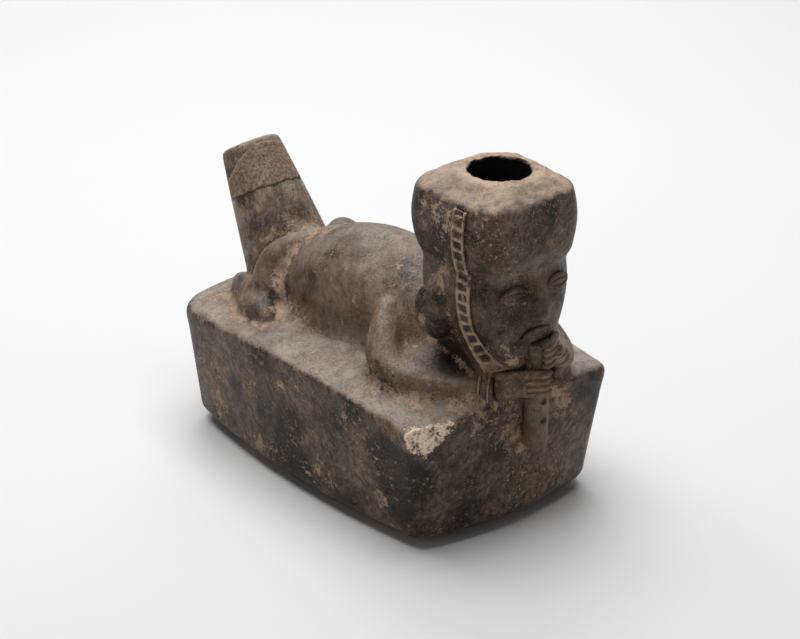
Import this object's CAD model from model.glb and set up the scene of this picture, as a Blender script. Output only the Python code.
"""Looks of a dark clay effigy bottle: a burnished skin over its luted pieces, worn, dusted and mended.

Every piece of clay is drawn over the solid that it stands for. The large pieces are drawn together, so
that each luted seam is a soft crease, and are then parted again, one closed shell for each solid. Small
applied pieces, such as straps, hands and bangles, are drawn one by one at a finer pitch.
Metres, in the frame of the solids: the figure faces -Y, the spout leans towards +Y and +Z is up.
"""

import logging
import math
from dataclasses import dataclass
from enum import Enum

import bmesh
import bpy
import numpy as np
from mathutils import Matrix, Vector, noise
from mathutils.bvhtree import BVHTree


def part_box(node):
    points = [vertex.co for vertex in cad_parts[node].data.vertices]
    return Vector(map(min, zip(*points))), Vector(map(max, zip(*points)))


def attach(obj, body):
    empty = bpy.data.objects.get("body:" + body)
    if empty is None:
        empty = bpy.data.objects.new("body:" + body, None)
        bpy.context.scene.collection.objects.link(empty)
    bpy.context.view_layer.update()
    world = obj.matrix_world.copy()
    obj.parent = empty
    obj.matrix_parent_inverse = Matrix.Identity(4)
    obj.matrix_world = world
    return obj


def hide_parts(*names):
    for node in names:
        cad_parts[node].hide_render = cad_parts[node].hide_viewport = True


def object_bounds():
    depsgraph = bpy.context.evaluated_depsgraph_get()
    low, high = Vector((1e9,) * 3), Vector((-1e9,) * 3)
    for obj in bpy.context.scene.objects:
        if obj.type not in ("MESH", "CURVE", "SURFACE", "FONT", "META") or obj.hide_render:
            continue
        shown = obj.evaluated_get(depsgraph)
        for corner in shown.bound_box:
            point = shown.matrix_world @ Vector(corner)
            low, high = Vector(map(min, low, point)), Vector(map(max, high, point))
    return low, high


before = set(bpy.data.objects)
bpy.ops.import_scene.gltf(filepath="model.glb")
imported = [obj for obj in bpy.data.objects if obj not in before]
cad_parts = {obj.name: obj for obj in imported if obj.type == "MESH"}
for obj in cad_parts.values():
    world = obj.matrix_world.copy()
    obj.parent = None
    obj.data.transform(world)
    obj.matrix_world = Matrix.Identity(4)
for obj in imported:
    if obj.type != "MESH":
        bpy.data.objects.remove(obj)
CAD_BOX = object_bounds()
log = logging.getLogger("bottle")
MM = 0.001
Colour = tuple[float, float, float]
Place = tuple[float, float, float]
Patches = dict[str, tuple[tuple[float, ...], ...]]

# Places on the block, the cap and the spout, as on the solids
CHIP_CORNER = Vector((-0.0620, -0.1000, 0.0640))
CHIP_NORMAL = Vector((-0.435, -0.815, 0.383)).normalized()
CHIP_DEPTH = 0.0082
CHIP_REACH = 0.035
CAP_SHOULDER = 0.1682
CAP_BROW = 0.1352
MOUTH_CENTRE = Vector((0.0040, -0.0795, 0.1762))
MOUTH_RADIUS = 0.0150
DECK_LEVEL = 0.0732
FIGURE_TURN = math.radians(1.5)
SPOUT_FOOT = Vector((0.0, 0.0716, 0.0688))
SPOUT_LEAN = math.radians(32.4)
SPOUT_AXIS = Vector((0.0, math.sin(SPOUT_LEAN), math.cos(SPOUT_LEAN)))
SPOUT_ACROSS = Vector((0.827, -0.476, 0.301)).normalized()
BREAK_HEIGHT = 0.0470

# The stretch of the torso's lower flank that is drawn in over the deck
FLANK_TOP = 0.1000
FLANK_RISE = 0.0240
FLANK_MIDDLE = 0.0020
FLANK_END = 0.0420
FLANK_FADE = 0.0180
FLANK_SHARE = 0.17

# Heights inside the block and the torso, from which their inner faces are told
TRAY_HEART = 0.036
DECK_HEART = 0.030
TORSO_HEART = 0.0725

# How strongly small and broad relief count, and the most earth that patches can add up to
SMALL_HOLLOW = 2.0
SMALL_RIDGE = 2.5
BROAD_RIDGE = 0.5
EARTH_LIMIT = 1.25

# The slant in which the clay was rubbed, and how much longer than wide its grain is
GRAIN_TURN = (0.656, 0.0, -0.70)
GRAIN_LENGTH = 4.0

# Caught earth by where it lies: x, y, z, reach and strength of each patch, lengths in millimetres
EARTH_PATCHES: Patches = {
    "deck behind and beside the near foot": (
        (-40, 78, 66, 9, 1.0), (-47, 66, 66, 7, 1.0), (-51, 50, 67, 6, 0.9), (-47, 36, 70, 6, 0.8),
        (-45, 81, 65, 8, 0.6), (-54, 59, 66, 7, 0.5), (-51, 33, 68, 6, 0.4)),
    "crease beside the near leg": (
        (-38, 37, 75, 5, 1.5), (-34, 41, 79, 3, 1.6), (-31, 45, 82, 4, 1.8), (-28, 47, 87, 3, 1.6),
        (-25, 49, 91, 4, 1.8), (-20, 48, 97, 3, 1.8), (-14, 46, 102, 4, 1.1), (-10, 42, 104, 4, 1.0),
        (-8, 36, 108, 4, 0.9), (-5, 33, 110, 4, 0.8)),
    "crease between legs and spout": (
        (-23, 77, 83, 3, 1.3), (-21, 77, 89, 3, 1.3), (-19, 74, 94, 3, 1.3), (-18, 69, 93, 5, 0.7),
        (-15, 71, 97, 3, 1.2), (-9, 65, 98, 5, 0.6), (-7, 68, 101, 3, 1.2), (2, 66, 101, 3, 1.1),
        (5, 65, 98, 5, 0.5), (10, 68, 98, 3, 1.0)),
    "deck along the near flank and arm": (
        (-46, 15, 69, 7, 0.6), (-45, -8, 70, 7, 0.6), (-43, -24, 70, 6, 0.7), (-40, -32, 76, 5, 0.9),
        (-47, -42, 74, 5, 0.9), (-50, -52, 71, 6, 0.8), (-50, -62, 69, 6, 0.6)),
    "back and neck": ((-5, -22, 110, 8, 0.45), (-15, -30, 104, 7, 0.5), (-16, -41, 100, 6, 0.6)),
    "near side of the head": (
        (-25, -77, 130, 6, 1.1), (-26, -72, 124, 6, 1.1), (-24, -60, 112, 5, 0.9), (-24, -58, 100, 5, 0.8),
        (-32, -66, 104, 4, 1.6)),
    "near side of the cap": (
        (-30, -76, 163, 6, 1.3), (-30, -68, 161, 6, 1.2), (-29, -85, 160, 5, 1.2), (-30, -72, 156, 4, 0.9),
        (-29, -80, 152, 4, 0.8), (-28, -66, 150, 4, 0.8), (-26, -102, 155, 3.5, 0.9),
        (-25, -102, 145, 4, 0.7)),
    "deck in front of the near arm": (
        (-42, -79, 69, 6, 0.8), (-43, -88, 67, 9, 0.35), (-33, -94, 68, 8, 0.4), (-30, -91, 70, 6, 0.8),
        (-23, -95, 71, 5, 1.1), (-22, -97, 71, 5, 1.0)),
    "chin and hands": (
        (-14, -99, 93, 6, 0.8), (-14, -96, 86, 3.5, 1.0), (-6, -102, 88, 4, 1.1), (-5, -102, 89, 6, 0.7),
        (1, -101, 83, 4, 1.0), (-14, -99, 69, 4, 1.2), (-6, -100, 67, 4, 1.2)),
    "front wall before the flute": (
        (-26, -100, 62, 4, 0.9), (-24, -100, 64, 6, 0.8), (-24, -100, 66, 3, 0.8), (-10, -100, 45, 8, 0.4),
        (-5, -100, 53, 5, 0.7), (-4, -100, 50, 9, 0.55), (-1, -100, 47, 5, 0.7), (-1, -100, 39, 8, 0.45),
        (1, -100, 41, 4, 0.6)),
    "front wall beyond the flute": (
        (22, -100, 67, 3, 1.2), (24, -100, 64, 6, 0.9), (25, -100, 61, 3, 1.3), (26, -100, 54, 6, 0.8),
        (27, -100, 50, 3, 1.0), (29, -100, 54, 3, 1.2), (30, -100, 57, 6, 0.8)),
    "near wall": (
        (-62, -27, 21, 7, 2.2), (-61, -70, 22, 5, 1.6), (-60, 60, 20, 8, 1.8), (-62, 2, 55, 4, 1.6),
        (-61, 21, 15, 5, 1.3), (-62, -45, 54, 5, 1.3), (-60, -84, 23, 4, 1.4), (-61, 63, 41, 4, 1.2),
        (-62, -38, 14, 4, 1.2)),
    "far side and rear": (
        (48, 60, 66, 8, 0.8), (40, 38, 74, 6, 0.8), (46, 10, 69, 8, 0.6), (45, -30, 72, 7, 0.7),
        (25, -70, 124, 6, 0.8), (62, -20, 24, 9, 0.7), (60, 40, 14, 8, 0.6), (20, 100, 20, 9, 0.6),
        (-25, 100, 40, 7, 0.5)),
    "spout": ((-7, 102, 130, 7, 0.6), (3, 100, 131, 6, 0.6), (-11, 100, 134, 5, 0.5))}

# Fire soot by where it lies, in the same terms
SOOT_PATCHES: Patches = {
    "near wall": (
        (-61, -89, 40, 13, 1.1), (-61, -74, 45, 14, 1.0), (-62, -1, 12, 14, 1.0), (-62, -52, 62, 10, 0.8),
        (-62, -6, 35, 13, 0.8), (-62, -18, 7, 10, 0.9), (-62, 19, 62, 8, 0.9), (-60, -80, 20, 12, 0.8)),
    "front wall": ((-11, -100, 43, 8, 0.7),),
    "under the head": (
        (-23, -71, 86, 9, 0.9), (-18, -79, 84, 9, 0.9), (-29, -76, 102, 7, 1.0), (-27, -74, 118, 5, 0.9)),
    "cap": ((-29, -75, 148, 9, 0.7), (-27, -74, 139, 6, 0.6), (2, -106, 150, 16, 0.5)),
    "spout": ((-16, 96, 112, 9, 0.6),),
    "far and rear walls": ((62, 20, 40, 16, 0.8), (62, -60, 30, 14, 0.8), (0, 100, 45, 16, 0.8))}


class Slot(Enum):
    """Material slots of the record."""

    BLOCK = "block_clay"
    FIGURE = "figure_clay"
    SPOUT = "spout_clay"
    MEND = "mended_clay"
    CAP = "cap_clay"


class Relief(Enum):
    """Names of the measures that each piece keeps for every point of its skin."""

    HOLLOW = "hollow"
    RIDGE = "ridge"
    LADDER = "ladder"
    EARTH = "earth"
    SOOT = "soot"


def points_of(mesh: bpy.types.Mesh) -> np.ndarray:
    """Read a mesh's points.

    Args:
        mesh: The mesh to read.

    Returns:
        One row of three numbers for each point.
    """
    flat = np.empty(len(mesh.vertices) * 3)
    mesh.vertices.foreach_get("co", flat)
    return flat.reshape(-1, 3)


def normals_of(mesh: bpy.types.Mesh) -> np.ndarray:
    """Read a mesh's point normals.

    Args:
        mesh: The mesh to read.

    Returns:
        One unit vector for each point.
    """
    flat = np.empty(len(mesh.vertices) * 3, np.float32)
    mesh.vertex_normals.foreach_get("vector", flat)
    return flat.reshape(-1, 3).astype(float)


def pairs_of(mesh: bpy.types.Mesh) -> np.ndarray:
    """Read which points each edge of a mesh joins.

    Args:
        mesh: The mesh to read.

    Returns:
        One pair of point numbers for each edge.
    """
    flat = np.empty(len(mesh.edges) * 2, np.int32)
    mesh.edges.foreach_get("vertices", flat)
    return flat.reshape(-1, 2)


def set_points(mesh: bpy.types.Mesh, points: np.ndarray) -> None:
    """Write a mesh's points back, held inside the box of the solids.

    Args:
        mesh: The mesh to change.
        points: One row of three numbers for each point.
    """
    low, high = CAD_BOX
    held = np.clip(points, np.array(low), np.array(high))
    mesh.vertices.foreach_set("co", held.astype(np.float32).ravel())
    mesh.update()


def spread(values: np.ndarray, pairs: np.ndarray, rounds: int) -> np.ndarray:
    """Average values over their neighbours along the edges.

    Args:
        values: Rows of numbers, one row for each point.
        pairs: The point numbers that each edge joins.
        rounds: How often the average is taken.

    Returns:
        The averaged rows.
    """
    first = pairs[:, 0]
    second = pairs[:, 1]
    size = len(values)
    share = np.maximum(np.bincount(first, minlength=size) + np.bincount(second, minlength=size), 1)
    for _ in range(rounds):
        total = np.empty_like(values)
        for axis in range(values.shape[1]):
            column = values[:, axis]
            total[:, axis] = np.bincount(first, column[second], size)
            total[:, axis] += np.bincount(second, column[first], size)
        values = 0.5 * values + 0.5 * total / share[:, None]
    return values


def waver(points: np.ndarray, pitch: float, seed: float) -> np.ndarray:
    """Smooth noise at given points.

    Args:
        points: Rows of three numbers, in metres.
        pitch: The length of the noise's waves, in metres.
        seed: A shift that gives different noise.

    Returns:
        One number about -1 to 1 for each point.
    """
    scaled = points / pitch + seed
    return np.array([noise.noise(Vector(p)) for p in scaled])


def corners_of(mesh: bpy.types.Mesh) -> tuple[np.ndarray, np.ndarray]:
    """Read the corners of a mesh's faces.

    Args:
        mesh: The mesh.

    Returns:
        For each corner, the number of its point and the number of its face.
    """
    points = np.empty(len(mesh.loops), np.int32)
    mesh.loops.foreach_get("vertex_index", points)
    sides = np.empty(len(mesh.polygons), np.int32)
    mesh.polygons.foreach_get("loop_total", sides)
    return points, np.repeat(np.arange(len(sides)), sides)


def ramp(value: np.ndarray, start: float, span: float) -> np.ndarray:
    """Rise evenly from 0 at a start to 1 at the end of a span."""
    return np.clip((value - start) / span, 0.0, 1.0)


def line(off: np.ndarray, half: float, blur: float) -> np.ndarray:
    """Mark points within half a line's width as 1, with a soft border."""
    return 1.0 - ramp(off, half - 0.5 * blur, blur)


def patched(points: np.ndarray, patches: Patches) -> np.ndarray:
    """Add up soft patches at given points.

    Args:
        points: Rows of three numbers, in metres.
        patches: Place, reach and strength of each patch, by where they lie.

    Returns:
        The patches' joint strength at each point.
    """
    total = np.zeros(len(points))
    for group in patches.values():
        for x, y, z, reach, strength in group:
            away = points / MM - np.array((x, y, z))
            total += strength * np.exp(-(away * away).sum(1) / reach ** 2)
    return total


def keep(mesh: bpy.types.Mesh, relief: Relief, values: np.ndarray) -> None:
    """Keep one measure on each point of a mesh.

    Args:
        mesh: The mesh that gains the measure.
        relief: The measure.
        values: One number for each point.
    """
    layer = mesh.attributes.new(relief.value, "FLOAT", "POINT")
    layer.data.foreach_set("value", values.astype(np.float32))


def measure_relief(mesh: bpy.types.Mesh, fine: int, wide: int) -> None:
    """Keep on each point how far it lies in a hollow or on a ridge, in millimetres, and what lies on it.

    Args:
        mesh: The mesh to measure.
        fine: Rounds of averaging for small creases and edges.
        wide: Rounds of averaging for broad ones.
    """
    points = points_of(mesh)
    normals = normals_of(mesh)
    pairs = pairs_of(mesh)
    near = spread(points, pairs, fine)
    far = spread(near, pairs, wide - fine)
    small = ((near - points) * normals).sum(1) / MM
    broad = ((far - points) * normals).sum(1) / MM
    keep(mesh, Relief.HOLLOW, np.maximum(broad, 0) + SMALL_HOLLOW * np.maximum(small, 0))
    keep(mesh, Relief.RIDGE, BROAD_RIDGE * np.maximum(-broad, 0) + SMALL_RIDGE * np.maximum(-small, 0))
    keep(mesh, Relief.EARTH, EARTH_LIMIT * (1.0 - np.exp(-patched(points, EARTH_PATCHES))))
    keep(mesh, Relief.SOOT, patched(points, SOOT_PATCHES))


def worked(bm: bmesh.types.BMesh, *steps: tuple[str, dict[str, object]]) -> bpy.types.Mesh:
    """Work a shape over with modifiers.

    Args:
        bm: The shape. It is freed.
        steps: The type name and the properties of each modifier, in order.

    Returns:
        A new mesh.
    """
    rough = bpy.data.meshes.new("rough")
    bm.to_mesh(rough)
    bm.free()
    holder = bpy.data.objects.new("rough", rough)
    bpy.context.scene.collection.objects.link(holder)
    for kind, settings in steps:
        modifier = holder.modifiers.new(kind.lower(), kind)
        for key, value in settings.items():
            setattr(modifier, key, value)
    graph = bpy.context.evaluated_depsgraph_get()
    mesh = bpy.data.meshes.new_from_object(holder.evaluated_get(graph))
    bpy.data.objects.remove(holder)
    bpy.data.meshes.remove(rough)
    return mesh


def redrawn(bm: bmesh.types.BMesh, pitch: float) -> bpy.types.Mesh:
    """Draw an even skin round solids, whether they overlap or not.

    Args:
        bm: The solids. It is freed.
        pitch: The skin's grid, in metres.

    Returns:
        A new mesh of even quads.
    """
    return worked(bm, ("REMESH", {"mode": "VOXEL", "voxel_size": pitch}))


def filled(bm: bmesh.types.BMesh, pitch: float, reach: float) -> bpy.types.Mesh:
    """Draw an even skin round solids and fill its creases, as a finger smooths slip into a seam.

    Args:
        bm: The solids. It is freed.
        pitch: The skin's grid, in metres.
        reach: The radius of the filled creases, in metres.

    Returns:
        A new mesh.
    """
    even = {"mode": "VOXEL", "voxel_size": pitch}
    relaxed = {"factor": 0.5, "iterations": 3}
    return worked(bm, ("REMESH", even), ("SMOOTH", relaxed),
                  ("DISPLACE", {"strength": reach, "mid_level": 0.0}), ("REMESH", even),
                  ("SMOOTH", relaxed), ("DISPLACE", {"strength": -reach, "mid_level": 0.0}))


def draw_in(torso: bmesh.types.BMesh, narrow: float) -> None:
    """Narrow the torso, most of all along its lower flank.

    Args:
        torso: The torso's copy, which is changed.
        narrow: The share of its width that it keeps above its lower flank.
    """
    for vert in torso.verts:
        low = 1.0 - ramp(vert.co.z, FLANK_TOP - FLANK_RISE, FLANK_RISE)
        inner = 1.0 - ramp(abs(vert.co.y - FLANK_MIDDLE), FLANK_END - FLANK_FADE, FLANK_FADE)
        vert.co.x *= narrow - FLANK_SHARE * low * inner


def solids_of(names: tuple[str, ...], swell: float, narrow: float = 1.0) -> bmesh.types.BMesh:
    """Gather copies of solids, each swollen a little so that neighbours overlap.

    Args:
        names: The solids' node names.
        swell: How far each surface moves out, in metres.
        narrow: The share of its width that the torso keeps above its lower flank.

    Returns:
        A bmesh that holds the copies.
    """
    gathered = bmesh.new()
    for name in names:
        one = bmesh.new()
        one.from_mesh(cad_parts[name].data)
        bmesh.ops.remove_doubles(one, verts=one.verts, dist=1e-6)
        one.normal_update()
        for vert in one.verts:
            vert.co += vert.normal * swell
        if name == "torso":
            draw_in(one, narrow)
        passed = bpy.data.meshes.new(name)
        one.to_mesh(passed)
        one.free()
        gathered.from_mesh(passed)
        bpy.data.meshes.remove(passed)
    return gathered


def joined_faces(names: tuple[str, ...]) -> tuple[list[Vector], list[tuple[int, ...]]]:
    """Gather the points and faces of solids for a search tree.

    Args:
        names: The solids' node names.

    Returns:
        The points and the faces' point numbers.
    """
    points = []
    faces = []
    for name in names:
        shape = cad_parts[name].data
        shift = len(points)
        points.extend(vert.co.copy() for vert in shape.vertices)
        faces.extend(tuple(number + shift for number in face.vertices) for face in shape.polygons)
    return points, faces


def main_shell(bm: bmesh.types.BMesh) -> None:
    """Delete all that hangs apart from the shell with the highest point.

    Args:
        bm: The bmesh to clean.
    """
    start = max(bm.verts, key=lambda vert: vert.co.z)
    seen = {start}
    stack = [start]
    while stack:
        vert = stack.pop()
        for edge in vert.link_edges:
            other = edge.other_vert(vert)
            if other not in seen:
                seen.add(other)
                stack.append(other)
    bmesh.ops.delete(bm, geom=[vert for vert in bm.verts if vert not in seen], context="VERTS")


def soften(bm: bmesh.types.BMesh, rounds: int) -> None:
    """Smooth a skin.

    Args:
        bm: The bmesh to smooth.
        rounds: How often each point moves half way to its neighbours' middle.
    """
    for _ in range(rounds):
        bmesh.ops.smooth_vert(bm, verts=bm.verts, factor=0.5, use_axis_x=True, use_axis_y=True,
                              use_axis_z=True)


def place(name: str, mesh: bpy.types.Mesh, nodes: tuple[str, ...],
          material: bpy.types.Material) -> bpy.types.Object:
    """Make a mesh a piece of the bottle that stands for solids.

    Args:
        name: The piece's name.
        mesh: Its mesh, in place.
        nodes: The solids that it stands for.
        material: Its finish.

    Returns:
        The new object.
    """
    mesh.name = name
    mesh.materials.clear()
    mesh.materials.append(material)
    mesh.polygons.foreach_set("use_smooth", np.ones(len(mesh.polygons), bool))
    piece = bpy.data.objects.new(name, mesh)
    bpy.context.scene.collection.objects.link(piece)
    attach(piece, "root")
    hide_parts(*nodes)
    log.info("%s: %d faces", name, len(mesh.polygons))
    return piece


class Graph:
    """Short calls for building a node tree."""

    def __init__(self, tree: bpy.types.NodeTree) -> None:
        """Keep the tree that is built."""
        self.tree = tree

    def node(self, kind: str, **settings: object) -> bpy.types.Node:
        """Add a node.

        Args:
            kind: The node's type name.
            settings: Its properties.

        Returns:
            The node.
        """
        made = self.tree.nodes.new(kind)
        for key, value in settings.items():
            setattr(made, key, value)
        return made

    def feed(self, socket: bpy.types.NodeSocket, value: object) -> None:
        """Link a socket to another, or set its value.

        Args:
            socket: The input.
            value: An output socket, a number, a colour of three numbers, or None to leave it.
        """
        if isinstance(value, bpy.types.NodeSocket):
            self.tree.links.new(value, socket)
        elif socket.type == "RGBA":
            socket.default_value = (*value, 1.0)
        elif value is not None:
            socket.default_value = value

    def group(self, tree: bpy.types.NodeTree, inputs: dict[str, object]) -> bpy.types.Node:
        """Add a shared node group.

        Args:
            tree: The group.
            inputs: What each of its inputs is fed.

        Returns:
            The node.
        """
        made = self.node("ShaderNodeGroup", node_tree=tree)
        for label, value in inputs.items():
            self.feed(made.inputs[label], value)
        return made

    def kept(self, relief: Relief) -> bpy.types.NodeSocket:
        """Read one of the measures that are kept on the skin's points."""
        return self.node("ShaderNodeAttribute", attribute_name=relief.value).outputs["Fac"]

    def math(self, operation: str, first: object, second: object = None, third: object = None,
             clamp: bool = False) -> bpy.types.NodeSocket:
        """Add a math node.

        Args:
            operation: Its operation.
            first: Its first input.
            second: Its second input.
            third: Its third input.
            clamp: Whether the result is held between 0 and 1.

        Returns:
            Its output.
        """
        made = self.node("ShaderNodeMath", operation=operation, use_clamp=clamp)
        for socket, value in zip(made.inputs, (first, second, third)):
            self.feed(socket, value)
        return made.outputs[0]

    def step(self, value: object, low: float, high: float) -> bpy.types.NodeSocket:
        """Map a value smoothly from 0 at one limit to 1 at the other.

        Args:
            value: The input.
            low: Where the result is 0.
            high: Where it is 1.

        Returns:
            The mapped value.
        """
        made = self.node("ShaderNodeMapRange", interpolation_type="SMOOTHSTEP")
        self.feed(made.inputs["Value"], value)
        self.feed(made.inputs["From Min"], low)
        self.feed(made.inputs["From Max"], high)
        return made.outputs["Result"]

    def mix(self, factor: object, first: object, second: object) -> bpy.types.NodeSocket:
        """Mix two colours.

        Args:
            factor: 0 for the first colour, 1 for the second.
            first: The first colour.
            second: The second colour.

        Returns:
            The mixed colour.
        """
        made = self.node("ShaderNodeMix", data_type="RGBA")
        self.feed(made.inputs[0], factor)
        self.feed(made.inputs[6], first)
        self.feed(made.inputs[7], second)
        return made.outputs[2]

    def less(self, value: object) -> bpy.types.NodeSocket:
        """Take a value from 1."""
        return self.math("SUBTRACT", 1.0, value)

    def stretched(self, vector: object, scale: Place) -> bpy.types.NodeSocket:
        """Scale coordinates.

        Args:
            vector: The coordinates.
            scale: The factor along each axis.

        Returns:
            The scaled coordinates.
        """
        made = self.node("ShaderNodeMapping")
        self.feed(made.inputs["Vector"], vector)
        made.inputs["Scale"].default_value = scale
        return made.outputs["Vector"]

    def noise(self, vector: object, scale: float, detail: float, rough: float) -> bpy.types.NodeSocket:
        """Add noise.

        Args:
            vector: Its coordinates.
            scale: Waves to a metre.
            detail: Its octaves.
            rough: The weight of the finer octaves.

        Returns:
            A value about 0 to 1.
        """
        made = self.node("ShaderNodeTexNoise")
        self.feed(made.inputs["Vector"], vector)
        self.feed(made.inputs["Scale"], scale)
        self.feed(made.inputs["Detail"], detail)
        self.feed(made.inputs["Roughness"], rough)
        return made.outputs["Fac"]

    def swing(self, vector: object, scale: float, detail: float, rough: float) -> bpy.types.NodeSocket:
        """Add noise, in the same terms, that swings about 0."""
        return self.math("SUBTRACT", self.noise(vector, scale, detail, rough), 0.5)

    def dot(self, vector: object, direction: Vector, origin: Vector) -> bpy.types.NodeSocket:
        """Measure along a direction.

        Args:
            vector: The coordinates.
            direction: A unit vector.
            origin: Where the measure is 0.

        Returns:
            The length along the direction, in metres.
        """
        made = self.node("ShaderNodeVectorMath", operation="DOT_PRODUCT")
        self.feed(made.inputs[0], vector)
        made.inputs[1].default_value = direction
        return self.math("SUBTRACT", made.outputs["Value"], float(direction.dot(origin)))

    def within(self, vector: object, centre: Vector, reach: float, full: float) -> bpy.types.NodeSocket:
        """Mark what lies near a point.

        Args:
            vector: The coordinates.
            centre: The point.
            reach: How far the mark reaches, in metres.
            full: The share of the reach where the mark is whole.

        Returns:
            1 near the point, 0 away from it.
        """
        made = self.node("ShaderNodeVectorMath", operation="DISTANCE")
        self.feed(made.inputs[0], vector)
        made.inputs[1].default_value = centre
        return self.less(self.step(made.outputs["Value"], reach * full, reach))


class SharedEffects:
    """Node groups that every clay finish uses, each built once."""

    def __init__(self) -> None:
        """Build the groups."""
        self.tone = self._tone()
        self.dust = self._dust()
        self.wear = self._wear()
        self.grain = self._grain()

    @staticmethod
    def _start(name: str, inputs: dict[str, str], outputs: dict[str, str]
               ) -> tuple[bpy.types.NodeTree, Graph, bpy.types.Node, bpy.types.Node]:
        """Begin a node group.

        Args:
            name: The group's name.
            inputs: Socket types by name.
            outputs: Socket types by name.

        Returns:
            The group, its graph, its input node and its output node.
        """
        tree = bpy.data.node_groups.new(name, "ShaderNodeTree")
        for label, kind in inputs.items():
            tree.interface.new_socket(label, in_out="INPUT", socket_type=kind)
        for label, kind in outputs.items():
            tree.interface.new_socket(label, in_out="OUTPUT", socket_type=kind)
        graph = Graph(tree)
        return tree, graph, graph.node("NodeGroupInput"), graph.node("NodeGroupOutput")

    @staticmethod
    def _combed(graph: Graph, vector: bpy.types.NodeSocket) -> bpy.types.NodeSocket:
        """Stretch coordinates along the slant in which the clay was rubbed.

        Args:
            graph: The graph that gains the node.
            vector: The coordinates.

        Returns:
            The stretched coordinates.
        """
        turned = graph.node("ShaderNodeMapping", vector_type="TEXTURE")
        graph.feed(turned.inputs["Vector"], vector)
        turned.inputs["Rotation"].default_value = GRAIN_TURN
        turned.inputs["Scale"].default_value = (1.0, GRAIN_LENGTH, 1.0)
        return turned.outputs["Vector"]

    def _tone(self) -> bpy.types.NodeTree:
        """Build the fired clay's colour: clouds, ash, rubbed grain, flecks and soot.

        Returns:
            The node group.
        """
        tree, graph, start, end = self._start(
            "fired_tone",
            {"Vector": "NodeSocketVector", "Dark": "NodeSocketColor", "Brown": "NodeSocketColor",
             "Grey": "NodeSocketColor", "Soot": "NodeSocketFloat", "Grain": "NodeSocketFloat"},
            {"Color": "NodeSocketColor"})
        vector = start.outputs["Vector"]
        dark = start.outputs["Dark"]
        brown = start.outputs["Brown"]
        clouds = graph.step(graph.noise(vector, 22.0, 6.0, 0.62), 0.42, 0.58)
        patches = graph.step(graph.noise(vector, 75.0, 6.0, 0.68), 0.40, 0.62)
        cloudy = graph.math("MULTIPLY_ADD", clouds, 0.60, graph.math("MULTIPLY", patches, 0.45))
        warm = graph.mix(cloudy, dark, brown)
        ashen = graph.step(graph.noise(vector, 50.0, 5.0, 0.6), 0.48, 0.62)
        cool = graph.mix(graph.math("MULTIPLY", ashen, 0.45), warm, start.outputs["Grey"])
        grain = graph.step(graph.noise(self._combed(graph, vector), 420.0, 6.0, 0.72), 0.38, 0.62)
        lost = graph.math("MULTIPLY", graph.less(grain), start.outputs["Grain"])
        grainy = graph.mix(lost, cool, dark)
        flecks = graph.step(graph.noise(vector, 1100.0, 4.0, 0.65), 0.54, 0.66)
        speckled = graph.mix(graph.math("MULTIPLY", flecks, 0.40), grainy, brown)
        ragged = graph.swing(vector, 90.0, 6.0, 0.7)
        sooted = graph.math("MULTIPLY_ADD", ragged, 1.6, start.outputs["Soot"])
        black = graph.math("MULTIPLY", graph.step(sooted, 0.12, 0.70), 0.90)
        graph.feed(end.inputs["Color"], graph.mix(black, speckled, dark))
        return tree

    def _dust(self) -> bpy.types.NodeTree:
        """Build the pale earth that is caught in creases and in scattered specks.

        Returns:
            The node group.
        """
        tree, graph, start, end = self._start(
            "caught_earth",
            {"Vector": "NodeSocketVector", "Hollow": "NodeSocketFloat", "Amount": "NodeSocketFloat",
             "Specks": "NodeSocketFloat", "Patch": "NodeSocketFloat"},
            {"Mask": "NodeSocketFloat"})
        vector = start.outputs["Vector"]
        shaped = graph.math("MULTIPLY", start.outputs["Hollow"], start.outputs["Amount"])
        shaped = graph.math("MULTIPLY_ADD", start.outputs["Patch"], 0.75, shaped)
        broken = graph.swing(vector, 240.0, 6.0, 0.7)
        clumps = graph.swing(vector, 60.0, 3.0, 0.5)
        crumbs = graph.swing(vector, 900.0, 4.0, 0.75)
        for ragged, strength in ((broken, 2.6), (clumps, 1.6), (crumbs, 2.2)):
            shaped = graph.math("MULTIPLY_ADD", ragged, strength, shaped)
        caught = graph.step(shaped, 0.42, 0.86)
        drawn = graph.stretched(vector, (1.0, 0.45, 0.8))
        spots = graph.step(graph.noise(drawn, 560.0, 3.0, 0.6), 0.61, 0.65)
        grit = graph.step(graph.noise(vector, 1200.0, 2.0, 0.5), 0.64, 0.68)
        dashes = graph.step(graph.noise(self._combed(graph, vector), 700.0, 2.0, 0.5), 0.62, 0.66)
        fields = graph.step(graph.noise(vector, 32.0, 4.0, 0.6), 0.42, 0.62)
        scattered = graph.math("MAXIMUM", graph.math("MAXIMUM", spots, grit), dashes)
        scattered = graph.math("MULTIPLY", scattered, fields)
        scattered = graph.math("MULTIPLY", scattered, start.outputs["Specks"])
        graph.feed(end.inputs["Mask"], graph.math("MAXIMUM", caught, scattered, clamp=True))
        return tree

    def _wear(self) -> bpy.types.NodeTree:
        """Build the rubbed edges.

        Returns:
            The node group.
        """
        tree, graph, start, end = self._start(
            "rubbed_edge",
            {"Vector": "NodeSocketVector", "Ridge": "NodeSocketFloat", "Amount": "NodeSocketFloat"},
            {"Mask": "NodeSocketFloat"})
        height = graph.math("MULTIPLY", start.outputs["Ridge"], start.outputs["Amount"])
        broken = graph.swing(start.outputs["Vector"], 180.0, 6.0, 0.7)
        shaped = graph.math("MULTIPLY_ADD", broken, 1.6, height)
        graph.feed(end.inputs["Mask"], graph.step(shaped, 0.35, 1.1))
        return tree

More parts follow.
